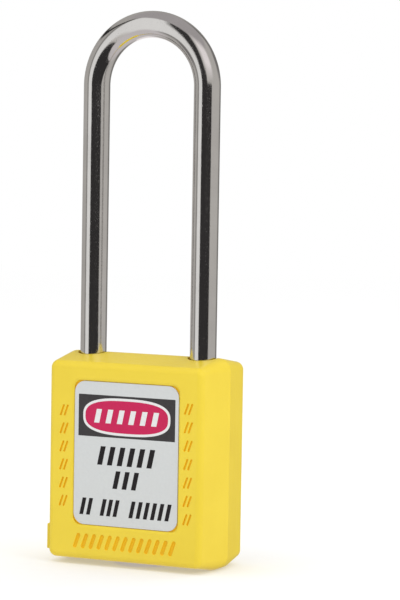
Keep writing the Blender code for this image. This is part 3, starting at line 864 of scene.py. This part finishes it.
def keyway_outline():
    """A slot with one ward standing in from each side, the pins' end at +X."""
    left, right, half = -3.4 * MM, 2.2 * MM, 0.72 * MM
    depth, length, slope = 0.42 * MM, 1.5 * MM, 0.3 * MM

    def warded(side, start):
        ward = ((0, 0), (slope, depth), (length - slope, depth), (length, 0))
        points = [(left + start + along, side * (half - inward)) for along, inward in ward]
        return [(left, side * half), *points, (right, side * half)]

    return warded(-1, 3.1 * MM) + warded(1, 0.9 * MM)[::-1]


def pin_heights():
    return [FIRST_PIN + (LAST_PIN - FIRST_PIN) * index / (PINS - 1) for index in range(PINS)]


def finish_brass(piece, node, body):
    paint(piece, BRASS_TURNED)
    smooth(piece, 30)
    stand_for(piece, node, body)


def make_core():
    """The plug: chamfered head, body, clip groove, tail and tang, with keyway and pin chambers."""
    face = CORE_LOW.z
    profile = [
        (HEAD_RADIUS - FACE_CHAMFER, face),
        (HEAD_RADIUS, face + FACE_CHAMFER),
        (HEAD_RADIUS, HEAD_TOP),
        (CORE_RADIUS, HEAD_TOP),
        (CORE_RADIUS, SHELL_HIGH.z - FACE_CHAMFER),
        (CORE_RADIUS - FACE_CHAMFER, SHELL_HIGH.z),
        (CLIP_GROOVE_RADIUS, SHELL_HIGH.z),
        (CLIP_GROOVE_RADIUS, CLIP_HIGH.z + GAP),
        (TAIL_RADIUS, CLIP_HIGH.z + GAP),
        (TAIL_RADIUS, TAIL_TOP - FACE_CHAMFER),
        (TAIL_RADIUS - FACE_CHAMFER, TAIL_TOP),
    ]
    core = turned("turned_plug", profile, BRASS_TURNED)
    wide, deep = TANG_HALF
    tang = box_cutter("tang", (-wide, -deep, TAIL_TOP - GAP), (wide, deep, CORE_HIGH.z))
    carve(core, [tang], "UNION")
    chambers = [
        turned_cutter(f"chamber_{n}", CHAMBER_RADIUS, MM / 2, 2 * CORE_RADIUS, "X", (0, z), 32)
        for n, z in enumerate(pin_heights())
    ]
    keyway = upright("keyway", keyway_outline(), -MM, KEYWAY_TOP, SHADE_PAINTED_YELLOW)
    carve(core, [keyway, *chambers])
    finish_brass(core, "cylinder_plug", "plug")


def make_shell():
    """The cylinder's shell: a chamfered round housing whose bible holds the driver pins."""
    face, top = SHELL_LOW.z, SHELL_HIGH.z
    profile = [
        (SHELL_RADIUS - FACE_CHAMFER, face),
        (SHELL_RADIUS, face + FACE_CHAMFER),
        (SHELL_RADIUS, top - FACE_CHAMFER),
        (SHELL_RADIUS - FACE_CHAMFER, top),
    ]
    shell = turned("turned_shell", profile, BRASS_TURNED)
    outline = round_rectangle(
        2 * BIBLE_HALF,
        2 * (SHELL_HIGH.y - SHELL_RADIUS / 2),
        BIBLE_CORNER,
        centre=(0, SHELL_RADIUS / 2),
    )
    carve(shell, [upright("bible_block", outline, face, top, BRASS_TURNED)], "UNION")
    groove = CROSS_RADIUS + GAP
    cutters = [
        turned_cutter("core_bore", CORE_RADIUS + GAP, 0, top + OVERCUT, "Z", (0, 0), 96),
        turned_cutter("head_bore", HEAD_RADIUS + GAP, -OVERCUT, HEAD_TOP + GAP, "Z", (0, 0), 96),
        turned_cutter("groove", groove, -SHELL_RADIUS, SHELL_RADIUS, "X", CROSS_PLACE, 32),
        box_cutter(
            "cover_channel",
            (COVER_LOW.x - GAP, COVER_LOW.y - GAP / 2, COVER_LOW.z - GAP),
            (COVER_HIGH.x + GAP, SHELL_HIGH.y + OVERCUT, COVER_HIGH.z + GAP),
        ),
    ]
    cutters += [
        turned_cutter(f"driver_{n}", CHAMBER_RADIUS, CORE_RADIUS / 2, SHELL_HIGH.y, "Y", (0, z), 32)
        for n, z in enumerate(pin_heights())
    ]
    carve(shell, cutters)
    finish_brass(shell, "cylinder_shell", "lock_body")


def spring_centre_line(low, high, height, wire, coil):
    """(point, outward direction) along a compression spring on the Y axis.

    Its first and last 0.6 turns are closed: they take up only 0.06 of its length each.
    """
    turns, steps_per_turn, closed = SPRING_TURNS, 20, 0.6
    steps = round(turns * steps_per_turn)
    start, length = low.y + wire, high.y - low.y - 2 * wire
    end_rise = 0.06 * length
    line = []
    for step in range(steps + 1):
        turn = turns * step / steps
        if turn < closed:
            rise = end_rise * turn / closed
        elif turn > turns - closed:
            rise = length - end_rise * (turns - turn) / closed
        else:
            share = (turn - closed) / (turns - 2 * closed)
            rise = end_rise + (length - 2 * end_rise) * share
        angle = 2 * math.pi * turn
        out = Vector((math.cos(angle), 0, math.sin(angle)))
        line.append((Vector((0, start + rise, height)) + out * coil, out))
    return line


def make_pin_spring(number):
    """One coiled spring, lofted round its centre line, seen in the place of its pin spring."""
    low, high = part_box(f"pin_spring_{number}")
    wire, height = SPRING_WIRE_RADIUS, (low.z + high.z) / 2
    line = spring_centre_line(low, high, height, wire, (high.z - low.z) / 2 - wire)
    around = [(math.cos(angle) * wire, math.sin(angle) * wire) for angle in ring_angles(10)]
    rings = []
    for index, (point, out) in enumerate(line):
        before, after = line[max(0, index - 1)][0], line[min(len(line) - 1, index + 1)][0]
        side = (after - before).normalized().cross(out).normalized()
        rings.append([point + out * outward + side * sideways for outward, sideways in around])
    bm = bmesh.new()
    loft_into(bm, rings, lambda band: 0)
    spring = put(f"coiled_spring_{number}", bm, STEEL_DRAWN)
    smooth(spring, 50, weighted=False)
    stand_for(spring, f"pin_spring_{number}", "lock_body")
    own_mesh(spring)


# ---------------- labels


def make_film(name, node, facing):
    """A label's film, its edge rounded towards the outside."""
    levels = [(0, LABEL_BACK), (0, LABEL_FACE - FILM_ROUND)]
    steps = 3
    for step in range(1, steps + 1):
        angle = step / steps * math.pi / 2
        growth = -FILM_ROUND * (1 - math.cos(angle))
        levels.append((growth, LABEL_FACE - FILM_ROUND * (1 - math.sin(angle))))

    def outline(growth):
        return round_rectangle(
            LABEL_WIDTH + 2 * growth,
            LABEL_HEIGHT + 2 * growth,
            LABEL_CORNER + growth,
            steps=14,
            centre=(FACE_SHIFT, LABEL_CENTRE),
        )

    film = front_plate(name, levels, outline, (FILM,))
    if facing < 0:
        film.data.transform(TO_REAR)
    smooth(film, 40)
    stand_for(film, node, "lock_body")


def ink_patch(bm, outline, layer, material):
    """A thin layer of ink on the label's face; layer counts up from the film."""
    base = LABEL_FACE + (layer - 1) * INK
    rings = [[(x, -depth, z) for x, z in outline] for depth in (base, base + INK)]
    loft_into(bm, rings, lambda band: material)


def ink_block(bm, size, above_centre, corner, steps):
    """A rectangle of the first ink on the film, its size, place and corner in millimetres."""
    width, height = (side * MM for side in size)
    centre = (0, LABEL_CENTRE + above_centre * MM)
    ink_patch(bm, round_rectangle(width, height, corner * MM, steps, centre), 1, 0)


def stripe_row(bm, row, layer, material):
    """Slanted stripes that fill each span of a row, a plain stand-in for a line of print."""
    above_centre, height, spans, stripe, pitch = row
    middle, half_height, half = LABEL_CENTRE + above_centre * MM, height * MM / 2, stripe * MM / 2
    shear = half_height * math.tan(STRIPE_LEAN)
    low, high = middle - half_height, middle + half_height
    for start, end in spans:
        count = max(1, round((end - start) / pitch))
        for index in range(count):
            x = (start + (end - start) * (index + 0.5) / count) * MM
            outline = (
                (x - shear - half, low),
                (x - shear + half, low),
                (x + shear + half, high),
                (x + shear - half, high),
            )
            ink_patch(bm, outline, layer, material)


def finish_print(name, bm, facing, *materials):
    bm.transform(Matrix.Translation((PRINT_SHIFT if facing > 0 else FACE_SHIFT, 0, 0)))
    if facing < 0:
        bm.transform(TO_REAR)
    bmesh.ops.recalc_face_normals(bm, faces=bm.faces)
    ink = put(name, bm, *materials)
    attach(ink, "lock_body")


def make_front_print():
    """A dark header with a crimson oval in a white outline, and three rows of stripes."""
    bm = bmesh.new()
    white, red, deep_black = 1, 2, 3
    ink_block(bm, HEADER_SIZE, HEADER_ABOVE_CENTRE, 0.12, 3)
    centre = (0, LABEL_CENTRE + HEADER_ABOVE_CENTRE * MM)
    for (width, height), layer, ink in ((FIELD_OUTLINE_SIZE, 2, white), (FIELD_SIZE, 3, red)):
        ink_patch(bm, oval(width * MM, height * MM, centre), layer, ink)
    stripe_row(bm, FIELD_ROW, 4, white)
    for row in TEXT_ROWS:
        stripe_row(bm, row, 1, deep_black)
    finish_print("front_label_print", bm, 1, INK_BLACK, INK_WHITE, INK_RED, INK_DEEP)


def make_rear_print():
    """A plain dark band over ruled lines to write on."""
    bm = bmesh.new()
    ink_block(bm, BAND_SIZE, BAND_ABOVE_CENTRE, 0.3, 4)
    for line in range(RULED_LINES):
        ink_block(bm, LINE_SIZE, TOP_LINE_ABOVE_CENTRE - line * LINE_PITCH, 0.1, 2)
    finish_print("rear_label_print", bm, -1, INK_BLACK)


# ---------------- pieces kept from the frame

GROUND_STEEL_NODES = (
    "plug_clip",
    "lock_cam",
    "cylinder_pin",
    "shackle_retaining_pin",
    "locking_ball_toe",
    "locking_ball_heel",
)
PIN_NODES = [f"{kind}_pin_{n + 1}" for n in range(PINS) for kind in ("key", "driver")]


def finish_frame_piece(name, material):
    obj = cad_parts[name]
    obj.data.materials.clear()
    obj.data.materials.append(material)


def finish_frame_pieces():
    for name in GROUND_STEEL_NODES:
        finish_frame_piece(name, STEEL_GROUND)
    finish_frame_piece("spring_cover", STEEL_DRAWN)
    for name in PIN_NODES:
        finish_frame_piece(name, BRASS_PINS)


# ---------------- studio


FLOOR_RADIUS = 4
FLOOR_BELOW = 0.05 * MM
# How far from the object the floor starts and ends its change to the surround, and its share
GLOW_REACH = (0.35, 1.1)
GLOW_SHARE = (0.3, 1)
# Soft lights: (name, place, size, energy)
LIGHTS = (
    ("key_light", (0.95, -0.25, 0.45), 0.5, 2.3),
    ("top_light", (-0.25, -0.35, 0.95), 0.6, 1.6),
    ("back_light", (0.35, 0.85, 0.75), 0.6, 1.5),
)


def make_floor():
    """A pale floor that brightens into the white surround far from the object."""
    bm = bmesh.new()
    bmesh.ops.create_circle(bm, cap_ends=True, segments=96, radius=FLOOR_RADIUS)
    floor = put("studio_floor", bm)
    floor.location.z = -FLOOR_BELOW
    material, graph, shader = new_material("pale_floor", 0)
    shader.inputs["Roughness"].default_value = 0.75
    shader.inputs["Specular IOR Level"].default_value = 0.15
    speckle = graph.span(graph.noise(300, detail=3), 0.3, 0.7, 0, 1)
    graph.link(graph.mix(speckle, (0.93, 0.93, 0.93), (0.915, 0.915, 0.915)), shader.inputs["Base Color"])
    length = graph.node("ShaderNodeVectorMath", operation="LENGTH")
    graph.link(graph.place(), length.inputs[0])
    far = graph.span(length.outputs["Value"], *GLOW_REACH, *GLOW_SHARE)
    glow = graph.node("ShaderNodeEmission")
    blend = graph.node("ShaderNodeMixShader")
    graph.link(far, blend.inputs[0])
    graph.link(shader.outputs[0], blend.inputs[1])
    graph.link(glow.outputs[0], blend.inputs[2])
    graph.link(blend.outputs[0], material.node_tree.nodes["Material Output"].inputs["Surface"])
    floor.data.materials.append(material)
    floor.visible_glossy = False


def camera_axes():
    right = Vector((math.cos(CAMERA_YAW), math.sin(CAMERA_YAW), 0))
    forward = Vector(
        (
            -math.sin(CAMERA_YAW) * math.cos(CAMERA_PITCH),
            math.cos(CAMERA_YAW) * math.cos(CAMERA_PITCH),
            -math.sin(CAMERA_PITCH),
        )
    )
    return right, forward, right.cross(forward)


# The studio as polished metal sees it. Angles are in degrees: across is to the right of the
# camera's side, up is above the horizon. First the walls, as (across, brightness).
WALLS = (
    (-180, 0.40),
    (-96, 0.46),
    (-87, 0.26),
    (-81, 0.26),
    (-76, 0.80),
    (-47, 0.82),
    (-38, 0.60),
    (40, 0.50),
    (112, 0.50),
    (127, 0.42),
    (134, 0.18),
    (150, 0.20),
    (165, 0.38),
)
BRIGHT_WALL = 0.7
BRIGHT_TINT = (1, 0.99, 0.98)
WALL_TINT = (1, 0.96, 0.92)
PANEL_TINT = (1, 0.94, 0.95)
# Then what hangs or stands in front of them. A panel is (left, right, low, high, softness,
# brightness, lean, tilt): lean shifts its sides with height, tilt lifts it to the right.
PANELS = (
    ("ceiling", -360, 360, 50, 90, 6, 0.40, 0, 0),
    ("floor", -360, 360, -90, -48, 12, 0.62, 0, 0),
    ("lamp", 8, 42, 24, 40, 17, 0.92, 0, 0),
    ("lamp stand", -40, -16, 2, 43, 7, 0.038, 0, 0),
    ("lamp foot", -40, -6, 2, 9, 6, 0.038, 0, 0),
    ("dark wall", -46, 36, -40, 2, 3, 0.034, -0.65, 0),
    ("rail", -156, -82, 57.5, 61.5, 3, 0.02, 0, 0.25),
    ("small lamp", 118, 130, 14, 24, 10, 0.20, 0, 0),
    ("left stand", -100, -88, -24, -14, 6, 0.20, 0, 0),
    ("back window, one half", 172, 190, -46, -5, 4, 0.92, 0, 0),
    ("back window, other half", -190, -170, -46, -5, 4, 0.92, 0, 0),
)


def make_world():
    """White soft light all round; polished metal sees the studio's walls and panels instead."""
    world = bpy.data.worlds.new("studio")
    bpy.context.scene.world = world
    world.use_nodes = True
    graph = Graph(world.node_tree)
    background = world.node_tree.nodes["Background"]
    coords = graph.node("ShaderNodeTexCoord")
    right, forward = camera_axes()[:2]
    towards_camera = Vector((-forward.x, -forward.y, 0)).normalized()
    parts = []
    for axis in (right, towards_camera, Vector((0, 0, 1))):
        dot = graph.node("ShaderNodeVectorMath", operation="DOT_PRODUCT")
        dot.inputs[1].default_value = axis
        graph.link(coords.outputs["Generated"], dot.inputs[0])
        parts.append(dot.outputs["Value"])
    degrees = 180 / math.pi
    across = graph.calc("MULTIPLY", graph.calc("ARCTAN2", parts[0], parts[1]), degrees)
    up = graph.calc("MULTIPLY", graph.calc("ARCSINE", parts[2], 0), degrees)
    ramp = graph.node("ShaderNodeValToRGB")
    graph.link(graph.span(across, -180, 180, 0, 1), ramp.inputs["Fac"])
    stops = ramp.color_ramp.elements
    for index, (angle, value) in enumerate(WALLS):
        place = (angle + 180) / 360
        stop = stops[index] if index < 2 else stops.new(place)
        stop.position = place
        red, green, blue = BRIGHT_TINT if value > BRIGHT_WALL else WALL_TINT
        stop.color = (value * red, value * green, value * blue, 1)
    seen = ramp.outputs["Color"]
    for _, left, right_edge, low, high, soft, brightness, lean, tilt in PANELS:
        sides = graph.sum(across, graph.calc("MULTIPLY", up, -lean))
        heights = graph.sum(up, graph.calc("MULTIPLY", across, -tilt))
        inside = graph.calc(
            "MULTIPLY",
            graph.window(sides, left, right_edge, soft),
            graph.window(heights, low, high, soft),
        )
        seen = graph.mix(inside, seen, tuple(brightness * part for part in PANEL_TINT))
    path = graph.node("ShaderNodeLightPath")
    light = graph.mix(path.outputs["Is Glossy Ray"], (1.0, 1.0, 1.0), seen)
    graph.link(light, background.inputs["Color"])
    background.inputs["Strength"].default_value = 1.0


def softbox(name, place, size, energy):
    data = bpy.data.lights.new(name, "AREA")
    data.shape = "RECTANGLE"
    data.size = data.size_y = size
    data.energy = energy
    lamp = bpy.data.objects.new(name, data)
    bpy.context.scene.collection.objects.link(lamp)
    lamp.location = place
    lamp.rotation_euler = (CAMERA_TARGET - Vector(place)).to_track_quat("-Z", "Y").to_euler()
    lamp.visible_glossy = False


def make_camera():
    right, forward, up = camera_axes()
    place = CAMERA_TARGET - forward * CAMERA_DISTANCE
    aim = CAMERA_TARGET + right * CAMERA_AIM_RIGHT + up * CAMERA_AIM_UP
    back = (place - aim).normalized()
    x_axis = right * math.cos(CAMERA_ROLL) + up * math.sin(CAMERA_ROLL)
    x_axis = (x_axis - back * x_axis.dot(back)).normalized()
    y_axis = back.cross(x_axis)
    data = bpy.data.cameras.new("camera")
    data.lens = CAMERA_LENS
    data.sensor_width = SENSOR_WIDTH
    data.clip_start, data.clip_end = 0.01, 20
    camera = bpy.data.objects.new("camera", data)
    bpy.context.scene.collection.objects.link(camera)
    turn = Matrix((x_axis, y_axis, back)).transposed().to_4x4()
    camera.matrix_world = Matrix.Translation(place) @ turn
    bpy.context.scene.camera = camera


def make_studio():
    make_floor()
    make_world()
    for name, place, size, energy in LIGHTS:
        softbox(name, place, size, energy)
    bpy.context.scene.view_settings.view_transform = "Standard"


make_body()
make_side_plug()
make_shackle()
make_core()
make_shell()
for number in range(PINS):
    make_pin_spring(number + 1)
make_film("front_label_film", "front_label", 1)
make_film("rear_label_film", "rear_label", -1)
make_front_print()
make_rear_print()
finish_frame_pieces()
make_camera()
make_studio()
